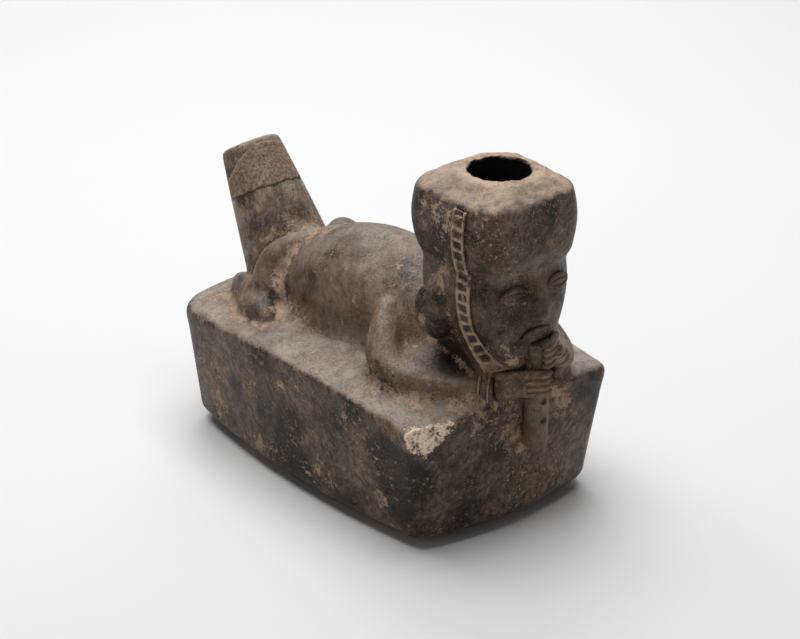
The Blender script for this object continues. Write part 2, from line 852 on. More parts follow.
    def _grain(self) -> bpy.types.NodeTree:
        """Build the burnished surface: fine pits, rubbing streaks and a sheen that varies.

        Returns:
            The node group.
        """
        tree, graph, start, end = self._start(
            "burnish",
            {"Vector": "NodeSocketVector"},
            {"Height": "NodeSocketFloat", "Sheen": "NodeSocketFloat"})
        vector = start.outputs["Vector"]
        pits = graph.step(graph.noise(vector, 900.0, 3.0, 0.6), 0.30, 0.48)
        lumps = graph.noise(vector, 130.0, 5.0, 0.6)
        streaks = graph.swing(graph.stretched(vector, (1.0, 0.12, 1.0)), 700.0, 4.0, 0.6)
        height = graph.math("MULTIPLY_ADD", pits, 0.5, graph.math("MULTIPLY", lumps, 0.9))
        graph.feed(end.inputs["Height"], graph.math("MULTIPLY_ADD", streaks, 0.25, height))
        sheen = graph.math("MULTIPLY_ADD", streaks, 0.25, graph.swing(vector, 48.0, 4.0, 0.6))
        graph.feed(end.inputs["Sheen"], sheen)
        return tree


@dataclass(frozen=True)
class ClayFinish:
    """Burnished dark clay with earth in its creases and rubbed edges."""

    name: str
    dark: Colour = (0.013, 0.010, 0.008)
    brown: Colour = (0.250, 0.168, 0.116)
    grey: Colour = (0.235, 0.205, 0.175)
    earth: Colour = (0.470, 0.345, 0.245)
    rust: Colour = (0.300, 0.190, 0.118)
    buff: Colour = (1.000, 0.800, 0.630)
    haze: Colour = (0.385, 0.333, 0.284)
    settled: float = 0.52
    dust: float = 0.45
    dust_cover: float = 0.86
    specks: float = 1.0
    grain: float = 0.80
    wear: float = 0.6
    wear_cover: float = 0.55
    gloss: float = 0.43
    specular: float = 0.22
    bump_strength: float = 0.7
    bump_height: float = 0.0008

    def material(self, effects: SharedEffects) -> bpy.types.Material:
        """Build the finish.

        Args:
            effects: The shared node groups.

        Returns:
            A new material.
        """
        made = bpy.data.materials.new(self.name)
        made.use_nodes = True
        made.node_tree.nodes.clear()
        graph = Graph(made.node_tree)
        vector = graph.node("ShaderNodeTexCoord").outputs["Object"]
        dust = graph.group(effects.dust, {
            "Vector": vector, "Hollow": graph.kept(Relief.HOLLOW), "Patch": graph.kept(Relief.EARTH),
            "Amount": self.dust, "Specks": self.specks})
        wear = graph.group(effects.wear, {
            "Vector": vector, "Ridge": graph.kept(Relief.RIDGE), "Amount": self.wear})
        grain = graph.group(effects.grain, {"Vector": vector})
        dusty = graph.math("MULTIPLY", dust.outputs["Mask"], self.dust_cover)
        rubbed = graph.math("MULTIPLY", wear.outputs["Mask"], self.wear_cover)
        colour = self._fired(graph, effects, vector)
        colour = self._soiled(graph, vector, colour, (rubbed, dusty))
        colour, bare = self.bared(graph, vector, colour)
        rough = graph.math("MULTIPLY_ADD", grain.outputs["Sheen"], 0.70, self.gloss)
        rough = graph.math("MULTIPLY_ADD", graph.math("MAXIMUM", dusty, rubbed), 0.35, rough)
        rough = graph.math("MULTIPLY_ADD", bare, 0.35, rough, clamp=True)
        bump = graph.node("ShaderNodeBump")
        bump.inputs["Strength"].default_value = self.bump_strength
        bump.inputs["Distance"].default_value = self.bump_height
        graph.feed(bump.inputs["Height"], graph.math("MULTIPLY_ADD", dusty, 0.6, grain.outputs["Height"]))
        shader = graph.node("ShaderNodeBsdfPrincipled")
        graph.feed(shader.inputs["Base Color"], colour)
        graph.feed(shader.inputs["Roughness"], rough)
        graph.feed(shader.inputs["Normal"], bump.outputs["Normal"])
        shader.inputs["Specular IOR Level"].default_value = self.specular
        end = graph.node("ShaderNodeOutputMaterial")
        graph.feed(end.inputs["Surface"], shader.outputs["BSDF"])
        return made

    def _fired(self, graph: Graph, effects: SharedEffects, vector: bpy.types.NodeSocket
               ) -> bpy.types.NodeSocket:
        """Colour the burnished clay, and the pale film that settled on what faces up.

        Args:
            graph: The material's graph.
            effects: The shared node groups.
            vector: Object coordinates.

        Returns:
            The colour.
        """
        tone = graph.group(effects.tone, {
            "Vector": vector, "Soot": graph.kept(Relief.SOOT), "Grain": self.grain, "Dark": self.dark,
            "Brown": self.brown, "Grey": self.grey})
        upward = graph.node("ShaderNodeSeparateXYZ")
        graph.feed(upward.inputs[0], graph.node("ShaderNodeTexCoord").outputs["Normal"])
        film = graph.math("MULTIPLY_ADD", graph.swing(vector, 90.0, 8.0, 0.75), 1.5, upward.outputs["Z"])
        film = graph.step(film, 0.45, 1.08)
        thin = graph.step(graph.noise(vector, 28.0, 5.0, 0.65), 0.34, 0.62)
        film = graph.math("MULTIPLY", film, graph.math("MULTIPLY_ADD", thin, 0.45, self.settled))
        return graph.mix(film, tone.outputs["Color"], self.haze)

    def _soiled(self, graph: Graph, vector: bpy.types.NodeSocket, colour: bpy.types.NodeSocket,
                masks: tuple[bpy.types.NodeSocket, ...]) -> bpy.types.NodeSocket:
        """Lay earth over the colour where it is caught or rubbed in, and on rails, rungs and grooves.

        Args:
            graph: The material's graph.
            vector: Object coordinates.
            colour: The colour so far.
            masks: Where the earth lies.

        Returns:
            The colour.
        """
        stained = graph.step(graph.noise(vector, 170.0, 5.0, 0.65), 0.42, 0.64)
        soil = graph.mix(stained, self.earth, self.rust)
        patchy = graph.step(graph.noise(vector, 300.0, 5.0, 0.65), 0.30, 0.52)
        ladder = graph.math("MULTIPLY", graph.kept(Relief.LADDER), patchy)
        for mask in (*masks, graph.math("MULTIPLY", ladder, 0.85)):
            colour = graph.mix(mask, colour, soil)
        return colour

    def bared(self, graph: Graph, vector: bpy.types.NodeSocket, colour: bpy.types.NodeSocket
              ) -> tuple[bpy.types.NodeSocket, object]:
        """Lay bare clay over the colour where the skin is lost; a plain finish has lost none.

        Args:
            graph: The material's graph.
            vector: Object coordinates.
            colour: The colour so far.

        Returns:
            The colour and the mask of bare clay.
        """
        return colour, 0.0


@dataclass(frozen=True)
class BlockFinish(ClayFinish):
    """The block's clay, with a chipped corner."""

    ragged: float = 0.013
    border: tuple[float, float] = (-0.0016, -0.0008)

    def bared(self, graph: Graph, vector: bpy.types.NodeSocket, colour: bpy.types.NodeSocket
              ) -> tuple[bpy.types.NodeSocket, object]:
        """Bare the chip with a ragged border.

        Args:
            graph: The material's graph.
            vector: Object coordinates.
            colour: The colour so far.

        Returns:
            The colour and the mask of bare clay.
        """
        height = graph.dot(vector, CHIP_NORMAL, CHIP_CORNER)
        height = graph.math("MULTIPLY_ADD", graph.swing(vector, 300.0, 6.0, 0.75), self.ragged, height)
        low, high = self.border
        mask = graph.step(height, low - CHIP_DEPTH, high - CHIP_DEPTH)
        mask = graph.math("MULTIPLY", mask, graph.within(vector, CHIP_CORNER, CHIP_REACH, 0.8))
        stain = graph.step(graph.noise(vector, 420.0, 6.0, 0.75), 0.46, 0.66)
        return graph.mix(mask, colour, graph.mix(stain, self.buff, self.rust)), mask


@dataclass(frozen=True)
class CapFinish(ClayFinish):
    """The cap's clay, rubbed down to buff on its sloping top and dark inside its mouth."""

    throat: Colour = (0.005, 0.004, 0.003)
    throat_rim: float = 0.0010
    top_ragged: float = 0.011
    side_ragged: float = 0.02

    def bared(self, graph: Graph, vector: bpy.types.NodeSocket, colour: bpy.types.NodeSocket
              ) -> tuple[bpy.types.NodeSocket, object]:
        """Bare the top, in patches that thin out over its edge, and blacken the mouth.

        Args:
            graph: The material's graph.
            vector: Object coordinates.
            colour: The colour so far.

        Returns:
            The colour and the mask of bare clay.
        """
        ragged = graph.swing(vector, 150.0, 6.0, 0.7)
        height = graph.dot(vector, Vector((0.0, 0.0, 1.0)), Vector((0.0, 0.0, CAP_SHOULDER)))
        height = graph.math("MULTIPLY_ADD", ragged, self.top_ragged, height)
        side = graph.dot(vector, Vector((0.9, -0.44, 0.0)), Vector((-0.012, -0.080, 0.0)))
        side = graph.math("MULTIPLY_ADD", ragged, self.side_ragged, side)
        bareness = graph.math("MULTIPLY_ADD", graph.step(side, -0.012, 0.006), 0.36, 0.58)
        mask = graph.math("MULTIPLY", graph.step(height, -0.0012, 0.0016), bareness)
        stain = graph.math("MULTIPLY", graph.step(graph.noise(vector, 140.0, 6.0, 0.7), 0.42, 0.66), 0.75)
        colour = graph.mix(mask, colour, graph.mix(stain, self.earth, self.brown))
        flat = graph.node("ShaderNodeVectorMath", operation="MULTIPLY")
        graph.feed(flat.inputs[0], vector)
        flat.inputs[1].default_value = (1.0, 1.0, 0.0)
        centre = Vector((MOUTH_CENTRE.x, MOUTH_CENTRE.y, 0.0))
        inside = graph.within(flat.outputs["Vector"], centre, MOUTH_RADIUS + self.throat_rim, 0.95)
        below = graph.less(graph.step(height, 0.0060, 0.0085))
        return graph.mix(graph.math("MULTIPLY", inside, below), colour, self.throat), mask


@dataclass(frozen=True)
class SpoutFinish(ClayFinish):
    """The spout's clay, with a tan mended band between a jagged break and a pale scratch."""

    band: Colour = (0.480, 0.358, 0.262)
    shade: Colour = (0.135, 0.096, 0.069)
    band_width: float = 0.0210
    band_slope: float = -0.30
    band_bow: float = 25.0
    jag: float = 0.007
    waver: float = 0.004

    def bared(self, graph: Graph, vector: bpy.types.NodeSocket, colour: bpy.types.NodeSocket
              ) -> tuple[bpy.types.NodeSocket, object]:
        """Colour the band, then draw the break under it and the scratch over it.

        Args:
            graph: The material's graph.
            vector: Object coordinates.
            colour: The colour so far.

        Returns:
            The colour and the mask of the band.
        """
        along = graph.math("SUBTRACT", graph.dot(vector, SPOUT_AXIS, SPOUT_FOOT), BREAK_HEIGHT)
        across = graph.dot(vector, SPOUT_ACROSS, SPOUT_FOOT)
        broken = graph.math("MULTIPLY_ADD", graph.swing(vector, 130.0, 5.0, 0.65), self.jag, along)
        above = graph.step(broken, 0.0, 0.0006)
        crack = graph.less(graph.step(graph.math("ABSOLUTE", broken), 0.0002, 0.0010))
        over = graph.math("MULTIPLY_ADD", across, self.band_slope,
                          graph.math("SUBTRACT", along, self.band_width))
        over = graph.math("MULTIPLY_ADD", graph.math("MULTIPLY", across, across), self.band_bow, over)
        over = graph.math("MULTIPLY_ADD", graph.swing(vector, 45.0, 2.0, 0.5), self.waver, over)
        below = graph.less(graph.step(over, -0.0004, 0.0004))
        scratch = graph.less(graph.step(graph.math("ABSOLUTE", over), 0.0001, 0.0006))
        mask = graph.math("MULTIPLY", above, below)
        grains = graph.step(graph.noise(vector, 700.0, 6.0, 0.8), 0.38, 0.62)
        clouds = graph.step(graph.noise(vector, 110.0, 5.0, 0.65), 0.40, 0.62)
        sandy = graph.mix(grains, self.shade, self.band)
        sandy = graph.mix(graph.math("MULTIPLY", clouds, 0.45), sandy, self.shade)
        colour = graph.mix(graph.math("MULTIPLY", mask, 0.92), colour, sandy)
        colour = graph.mix(graph.math("MULTIPLY", crack, 0.8), colour, self.dark)
        faint = graph.step(graph.noise(vector, 210.0, 4.0, 0.6), 0.34, 0.56)
        return graph.mix(graph.math("MULTIPLY", scratch, faint), colour, self.earth), mask


@dataclass
class ClaySkin:
    """The skin over the large luted pieces: drawn as one, then parted into closed shells."""

    body: tuple[str, ...]
    limbs: tuple[str, ...]
    head: tuple[str, ...]
    ears: tuple[str, ...]
    pitch: float = 0.0012
    swell: float = 0.0002
    body_crease: float = 0.0028
    skirt_crease: float = 0.0080
    limb_crease: float = 0.0018
    head_crease: float = 0.0055
    ear_crease: float = 0.0004
    rounds: int = 3
    border_rounds: int = 5
    relief_rounds: tuple[int, int] = (4, 40)
    wall: float = 0.0012
    box_margin: float = 0.003
    ball_reach: float = 1.10
    level: float = 0.80
    torso_share: float = 0.94
    sole_at: Place = (0.0340, 0.0660, 0.0690)
    sole_size: Place = (0.0075, 0.0220, 0.0110)
    sole_turn: float = math.radians(19.6)
    lobes: tuple[tuple[float, ...], ...] = ((0.0250, -0.0702, 0.1044, 0.0070, 0.0090, 0.0105),
                                            (0.0240, -0.0718, 0.1180, 0.0050, 0.0062, 0.0060))
    chest_at: Place = (-0.0180, -0.0640, 0.0660)
    chest_size: Place = (0.0230, 0.0270, 0.0200)

    @property
    def members(self) -> tuple[str, ...]:
        """All the solids under the skin."""
        return self.body + self.limbs + self.head + self.ears

    def drawn(self) -> bpy.types.Mesh:
        """Draw and soften the skin.

        Returns:
            The skin as one mesh.
        """
        joined = bmesh.new()
        for names, crease in ((self.body, self.body_crease), (("deck", "torso"), self.skirt_crease),
                              (self.limbs + ("torso",), self.limb_crease),
                              (self.head, self.head_crease), (self.ears, self.ear_crease)):
            solids = solids_of(names, self.swell, self.torso_share)
            if names is self.body:
                self._chest(solids)
            for name, ball in self._soles() + self._lobes():
                if name in names:
                    bmesh.ops.create_icosphere(solids, subdivisions=4, radius=1.0, matrix=ball)
            group = filled(solids, self.pitch, crease)
            joined.from_mesh(group)
            bpy.data.meshes.remove(group)
        mesh = redrawn(joined, self.pitch)
        bm = bmesh.new()
        bm.from_mesh(mesh)
        main_shell(bm)
        soften(bm, self.rounds)
        bm.to_mesh(mesh)
        bm.free()
        log.info("skin drawn: %d faces", len(mesh.polygons))
        return mesh

    def _chest(self, solids: bmesh.types.BMesh) -> None:
        """Fill the crook between arm, neck and torso with the swell of the chest.

        Args:
            solids: The body's solids, which gain the swell.
        """
        place_at = Matrix.Translation(self.chest_at) @ Matrix.Diagonal((*self.chest_size, 1.0))
        bmesh.ops.create_icosphere(solids, subdivisions=4, radius=1.0, matrix=place_at)

    def _soles(self) -> list[tuple[str, Matrix]]:
        """Place the long soles, which lie on the deck behind the shins.

        Returns:
            For each foot, the matrix that makes a unit ball its sole.
        """
        x, y, z = self.sole_at
        size = Matrix.Diagonal((*self.sole_size, 1.0))
        soles = []
        for name, side in (("right_foot", -1), ("left_foot", 1)):
            turn = Matrix.Rotation(side * self.sole_turn, 4, "Z")
            soles.append((name, Matrix.Translation((side * x, y, z)) @ turn @ size))
        return soles

    def _lobes(self) -> list[tuple[str, Matrix]]:
        """Place the drop and the bead of each ear ornament.

        Returns:
            For each lobe, its ear and the matrix that makes a unit ball the lobe.
        """
        made = []
        for name, side in (("right_ear", -1), ("left_ear", 1)):
            for x, y, z, thick, wide, tall in self.lobes:
                size = Matrix.Diagonal((thick, wide, tall, 1.0))
                made.append((name, Matrix.Translation((side * x, y, z)) @ size))
        return made

    def label(self, mesh: bpy.types.Mesh) -> None:
        """Keep on each face the number of the solid that it lies on, or -1 inside the chamber.

        Args:
            mesh: The skin.
        """
        trees = []
        margin = Vector((self.box_margin, self.box_margin, self.box_margin))
        for name in self.members:
            low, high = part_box(name)
            trees.append((BVHTree.FromPolygons(*joined_faces((name,))), low - margin, high + margin))
        marks = np.array([self._owner(trees, face.center, face.normal) for face in mesh.polygons])
        centres = np.array([face.center for face in mesh.polygons])
        for name, ball in self._soles() + self._lobes():
            turned = np.array(ball.inverted())
            local = centres @ turned[:3, :3].T + turned[:3, 3]
            marks[(local * local).sum(1) < self.ball_reach ** 2] = self.members.index(name)
        level = np.array([face.normal.z for face in mesh.polygons]) > self.level
        laid = level & (centres[:, 2] < DECK_LEVEL) & (marks == self.members.index("torso"))
        marks[laid] = self.members.index("deck")
        layer = mesh.attributes.new("owner", "INT", "FACE")
        layer.data.foreach_set("value", self._evened(mesh, marks).astype(np.int32))

    def _evened(self, mesh: bpy.types.Mesh, marks: np.ndarray) -> np.ndarray:
        """Smooth the borders between the solids' stretches of skin.

        Args:
            mesh: The skin.
            marks: One number for each face.

        Returns:
            The numbers with even borders.
        """
        corners, faces = corners_of(mesh)
        size = len(mesh.vertices)
        touching = np.maximum(np.bincount(corners, minlength=size), 1)
        votes = np.empty((size, len(self.members) + 1))
        for number in range(-1, len(self.members)):
            chosen = (marks == number).astype(float)
            votes[:, number + 1] = np.bincount(corners, chosen[faces], size) / touching
        votes = spread(votes, pairs_of(mesh), self.border_rounds)
        sums = [np.bincount(faces, votes[corners, column], len(marks)) for column in range(votes.shape[1])]
        return np.argmax(np.array(sums), axis=0) - 1

    def _owner(self, trees: list, centre: Vector, normal: Vector) -> int:
        """Find the solid that one face lies on.

        Args:
            trees: A search tree and a box for each solid.
            centre: The face's middle.
            normal: Its normal.

        Returns:
            The solid's number, or -1 for the inside of the chamber.
        """
        best = -1
        nearest = 1.0
        for number, (tree, low, high) in enumerate(trees):
            if all(low[axis] <= centre[axis] <= high[axis] for axis in range(3)):
                distance = tree.find_nearest(centre, nearest)[3]
                if distance is not None and distance < nearest:
                    nearest = distance
                    best = number
        hearts = {"base_tray": Vector((0.0, 0.0, TRAY_HEART)), "deck": Vector((0.0, 0.0, DECK_HEART)),
                  "torso": Vector((0.0, centre.y, TORSO_HEART))}
        heart = hearts.get(self.members[best])
        if best >= 0 and heart is not None and (centre - heart).dot(normal) < 0:
            return -1
        return best

    def share(self, mesh: bpy.types.Mesh, names: tuple[str, ...]) -> np.ndarray:
        """Tell for each point how many of its faces lie on given solids.

        Args:
            mesh: The labelled skin.
            names: The solids' node names.

        Returns:
            A share from 0 to 1 for each point.
        """
        marks = np.empty(len(mesh.polygons), np.int32)
        mesh.attributes["owner"].data.foreach_get("value", marks)
        chosen = np.isin(marks, [self.members.index(name) for name in names]).astype(float)
        corners, faces = corners_of(mesh)
        size = len(mesh.vertices)
        touching = np.maximum(np.bincount(corners, minlength=size), 1)
        return np.bincount(corners, chosen[faces], size) / touching

    def part(self, mesh: bpy.types.Mesh, name: str) -> bpy.types.Mesh:
        """Cut one solid's stretch out of the skin and give it a wall.

        Args:
            mesh: The labelled skin.
            name: The solid's node name.

        Returns:
            A closed shell.
        """
        number = self.members.index(name)
        bm = bmesh.new()
        bm.from_mesh(mesh)
        owner = bm.faces.layers.int["owner"]
        bmesh.ops.delete(bm, geom=[face for face in bm.faces if face[owner] != number], context="FACES")
        loose = [vert for vert in bm.verts if not vert.link_faces]
        bmesh.ops.delete(bm, geom=loose, context="VERTS")
        for edge in bm.edges:
            if edge.is_boundary:
                edge.smooth = False
        return worked(bm, ("SOLIDIFY", {"thickness": self.wall, "offset": -1.0, "use_even_offset": False,
                                        "use_rim": True}))


@dataclass
class Weathering:
    """What making, use and burial did to the skin: uneven clay, a leaning wall, a chip, a worn cap."""

    sag: float = 0.0005
    sag_pitch: float = 0.030
    crisp: float = 0.9
    crisp_limit: float = 0.0018
    crisp_rounds: int = 24
    crisp_fade: int = 6
    upright: float = 0.15
    rear_lean: float = 0.0060
    lean_top: float = 0.056
    lean_from: float = 0.040
    lean_span: float = 0.060
    chip_rough: float = 0.0012
    chip_border: float = 0.002
    chip_pitch: float = 0.0045
    chip_fine: float = 0.6
    chip_fine_pitch: float = 0.0018
    far_trim: float = 0.0024
    trim_drop: float = 0.006
    trim_rise: float = 0.014
    trim_from: float = 0.012
    trim_span: float = 0.020
    rim_loss: float = 0.0016
    rim_drop: float = 0.004
    rim_rise: float = 0.006
    rim_pitch: float = 0.011
    rim_fine: float = 0.35
    rim_fine_pitch: float = 0.0035

    def apply(self, mesh: bpy.types.Mesh, block: np.ndarray) -> None:
        """Move the skin's points.

        Args:
            mesh: The skin.
            block: For each point, how far it belongs to the block.
        """
        set_points(mesh, self._crisped(mesh, block))
        points = points_of(mesh)
        normals = normals_of(mesh)
        uneven = 0.5 + 0.5 * waver(points, self.sag_pitch, 3.0)
        points = points - normals * (self.sag * uneven)[:, None]
        points = self._leaned(points)
        points = self._chip(points)
        points = self._rim(points)
        points = self.trimmed(points)
        set_points(mesh, points)

    def _crisped(self, mesh: bpy.types.Mesh, block: np.ndarray) -> np.ndarray:
        """Draw the block's rounded edges out again, since its mould left them crisp.

        Args:
            mesh: The skin.
            block: For each point, how far it belongs to the block.

        Returns:
            The moved points.
        """
        points = points_of(mesh)
        pairs = pairs_of(mesh)
        normals = normals_of(mesh)
        proud = ((points - spread(points, pairs, self.crisp_rounds)) * normals).sum(1)
        lift = np.clip(proud * self.crisp, 0.0, self.crisp_limit)
        lift *= spread(block[:, None], pairs, self.crisp_fade)[:, 0]
        slanting = ramp(np.abs(normals[:, 2]), self.upright, self.upright)
        high = points[:, 2] > CAP_BROW
        lift[high] *= slanting[high]
        return points + normals * lift[:, None]

    def _chip(self, points: np.ndarray) -> np.ndarray:
        """Break the near corner off.

        Args:
            points: The skin's points.

        Returns:
            The moved points.
        """
        normal = np.array(CHIP_NORMAL)
        away = points - np.array(CHIP_CORNER)
        proud = away @ normal + CHIP_DEPTH
        proud[(away * away).sum(1) > CHIP_REACH ** 2] = -1.0
        hit = proud > -self.chip_border
        rough = np.zeros(len(points))
        rough[hit] = waver(points[hit], self.chip_pitch, 7.0)
        rough[hit] += self.chip_fine * waver(points[hit], self.chip_fine_pitch, 9.0)
        depth = np.maximum(proud + self.chip_rough * rough, 0.0)
        return points - normal * depth[:, None]

    def _leaned(self, points: np.ndarray) -> np.ndarray:
        """Draw the foot of the block's rear wall in.

        Args:
            points: The skin's points.

        Returns:
            The moved points.
        """
        low = 1.0 - ramp(points[:, 2], 0.0, self.lean_top)
        rear = ramp(points[:, 1], self.lean_from, self.lean_span)
        moved = points.copy()
        moved[:, 1] -= self.rear_lean * low * rear
        return moved

    def trimmed(self, points: np.ndarray) -> np.ndarray:
        """Flatten the cap's far side, which bulges less than the near one.

        Args:
            points: The skin's points.

        Returns:
            The moved points.
        """
        high = ramp(points[:, 2], CAP_BROW - self.trim_drop, self.trim_rise)
        far = ramp(points[:, 0], self.trim_from, self.trim_span)
        moved = points.copy()
        moved[:, 0] -= self.far_trim * high * far
        return moved

    def _rim(self, points: np.ndarray) -> np.ndarray:
        """Wear the cap's top down unevenly.

        Args:
            points: The skin's points.

        Returns:
            The moved points.
        """
        high = ramp(points[:, 2], CAP_SHOULDER - self.rim_drop, self.rim_rise)
        hit = high > 0
        loss = np.zeros(len(points))
        loss[hit] = 0.5 + 0.5 * waver(points[hit], self.rim_pitch, 5.0)
        loss[hit] += self.rim_fine * waver(points[hit], self.rim_fine_pitch, 6.0)
        moved = points.copy()
        moved[:, 2] -= self.rim_loss * np.maximum(loss, 0.0) * high
        return moved


@dataclass
class FinePiece:
    """A small applied piece, redrawn finely and softened."""

    node: str
    name: str
    pitch: float = 0.00045
    rounds: int = 3
    relief_rounds: tuple[int, int] = (3, 14)
    swell: float = 0.0

    def build(self, slot: Slot, material: bpy.types.Material) -> bpy.types.Object:
        """Draw the piece and put it in place.

        Args:
            slot: The record's material slot.
            material: Its finish.

        Returns:
            The piece.
        """
        mesh = redrawn(solids_of((self.node,), self.swell), self.pitch)
        bm = bmesh.new()
        bm.from_mesh(mesh)
        soften(bm, self.rounds)
        bm.to_mesh(mesh)
        bm.free()
        self.shape(mesh)
        set_points(mesh, points_of(mesh))
        measure_relief(mesh, *self.relief_rounds)
        return place(self.name, mesh, (self.node,), material)

    def shape(self, mesh: bpy.types.Mesh) -> None:
        """Work the piece's surface; a plain piece is left as it is.

        Args:
            mesh: The piece's mesh.
        """


@dataclass
class Hand(FinePiece):
    """A hand closed round the flute, with earth between its fingers."""

    middle: float = 0.0768
    knuckles: float = -0.0040
    finger_pitch: float = 0.0032
    knuckle_fade: float = 0.002
    groove_half: float = 0.0007
    groove_blur: float = 0.0005
    groove_depth: float = 0.0008

    def shape(self, mesh: bpy.types.Mesh) -> None:
        """Deepen the lines between the fingers and keep where they run.

        Args:
            mesh: The hand.
        """
        points = points_of(mesh)
        normals = normals_of(mesh)
        count = (points[:, 2] - self.middle) / self.finger_pitch
        off = np.abs(count - np.clip(np.round(count), -1, 1)) * self.finger_pitch
        groove = line(off, self.groove_half, self.groove_blur)
        groove *= ramp(points[:, 0], self.knuckles, self.knuckle_fade)
        set_points(mesh, points - normals * (self.groove_depth * groove)[:, None])
        keep(mesh, Relief.LADDER, groove)


@dataclass
class Eye(FinePiece):
    """A calm almond eye between two lids."""

    opening: float = 0.36
    lid_half: float = 0.09
    lid_blur: float = 0.06
    corner: float = 0.92
    depth: float = 0.0006

    def shape(self, mesh: bpy.types.Mesh) -> None:
        """Incise the lids.

        Args:
            mesh: The eye.
        """
        points = points_of(mesh)
        away = points - points.mean(0)
        axes = np.linalg.svd(away, full_matrices=False)[2]
        flat = away @ axes.T
        wide = flat[:, 0] / np.abs(flat[:, 0]).max()
        tall = flat[:, 1] / np.abs(flat[:, 1]).max()
        off = np.abs(np.abs(tall) - self.opening * (1.0 - wide * wide))
        lids = 1.0 - ramp(off, self.lid_half - self.lid_blur, self.lid_blur)
        lids *= np.abs(wide) < self.corner
        set_points(mesh, points - normals_of(mesh) * (self.depth * lids)[:, None])


@dataclass
class Bangle(FinePiece):
    """A thin wrist ring, rubbed to a pale line."""

    bite: float = 0.0016
    inward: float = -0.2

    def shape(self, mesh: bpy.types.Mesh) -> None:
        """Bed the ring's inner face in the arm and mark the whole ring as rubbed.

        Args:
            mesh: The ring.
        """
        points = points_of(mesh)
        tree = BVHTree.FromPolygons(*joined_faces(("right_arm",)))
        for number, normal in enumerate(normals_of(mesh)):
            foot, outward, _, _ = tree.find_nearest(Vector(points[number]))
            if outward.dot(Vector(normal)) < self.inward:
                points[number] = np.array(foot - outward * self.bite)
        set_points(mesh, points)
        keep(mesh, Relief.LADDER, np.ones(len(mesh.vertices)))


@dataclass
class LadderStrap(FinePiece):
    """A chin strap with two rails and rungs, its cells cut back to a dark ground."""

    path: tuple[tuple[float, float], ...] = ((-0.0885, 0.0950), (-0.0885, 0.0360), (-0.0990, 0.0090))
    rung_pitch: float = 0.0054
    rung_half: float = 0.0009
    rail_at: float = 0.0026
    blur: float = 0.0006
    relief: float = 0.0012
    ground: float = 0.0003
    sink: float = 0.0030
    worn_from: float = 0.0925
    worn_span: float = 0.002
    worn_share: float = 0.8

    def shape(self, mesh: bpy.types.Mesh) -> None:
        """Cut the cells and keep on each point whether it is a rail or a rung.

        Args:
            mesh: The strap.
        """
        points = points_of(mesh)
        along, across, height = self._measured(points)
        beat = (along / self.rung_pitch) % 1.0
        beat = np.minimum(beat, 1.0 - beat) * self.rung_pitch
        rung = line(beat, self.rung_half, self.blur)
        rail = 1.0 - line(np.abs(across), self.rail_at, self.blur)
        raised = np.maximum(rung, rail)
        worn = ramp(height, self.worn_from, self.worn_span)
        level = (self.ground + (self.relief - self.ground) * raised) * (1.0 - self.worn_share * worn)
        tree = BVHTree.FromPolygons(*joined_faces(("head", "cap")))
        moved = points.copy()
        for number, point in enumerate(points):
            foot, normal, _, distance = tree.find_nearest(Vector(point))
            lift = min(distance, level[number]) - self.sink * worn[number]
            moved[number] = np.array(foot + normal * lift)
        set_points(mesh, Weathering().trimmed(moved))
        keep(mesh, Relief.LADDER, raised * (1.0 - worn))

    def _measured(self, points: np.ndarray) -> tuple[np.ndarray, np.ndarray, np.ndarray]:
        """Measure points along and across the strap's path, in the figure's own turned frame.

        Args:
            points: The strap's points.

        Returns:
            The length along the path, the offset across it and the height over the deck.
        """
        shifted_x = points[:, 0]
        shifted_y = points[:, 1] - SPOUT_FOOT.y
        depth = SPOUT_FOOT.y + shifted_y * math.cos(FIGURE_TURN) - shifted_x * math.sin(FIGURE_TURN)
        height = points[:, 2] - DECK_LEVEL
        flat = np.stack([depth, height], 1)
        best = np.full(len(points), 1.0)
        along = np.zeros(len(points))
        across = np.zeros(len(points))
        done = 0.0
        for start, end in zip(self.path, self.path[1:]):
            first = np.array(start)
            step = np.array(end) - first
            length = float(np.hypot(*step))
            step = step / length
            reach = np.clip((flat - first) @ step, 0.0, length)
            off = flat - (first + reach[:, None] * step)
            distance = np.hypot(off[:, 0], off[:, 1])
            nearer = distance < best
            side = off[:, 0] * step[1] - off[:, 1] * step[0]
            best[nearer] = distance[nearer]
            along[nearer] = done + reach[nearer]
            across[nearer] = side[nearer]
            done += length
        return along, across, height


@dataclass(frozen=True)
class Lamp:
    """A soft square lamp: where it hangs, what it aims at, its side in metres and its power in watts."""

    name: str
    at: Place
    aim: Place
    side: float
    power: float

    def hang(self) -> None:
        """Hang the lamp."""
        data = bpy.data.lights.new(self.name, "AREA")
        data.shape = "SQUARE"
        data.size = self.side
        data.energy = self.power
        lamp = bpy.data.objects.new(self.name, data)
        lamp.location = self.at
        lamp.rotation_mode = "QUATERNION"
        lamp.rotation_quaternion = (Vector(self.aim) - Vector(self.at)).to_track_quat("-Z", "Y")
        bpy.context.scene.collection.objects.link(lamp)


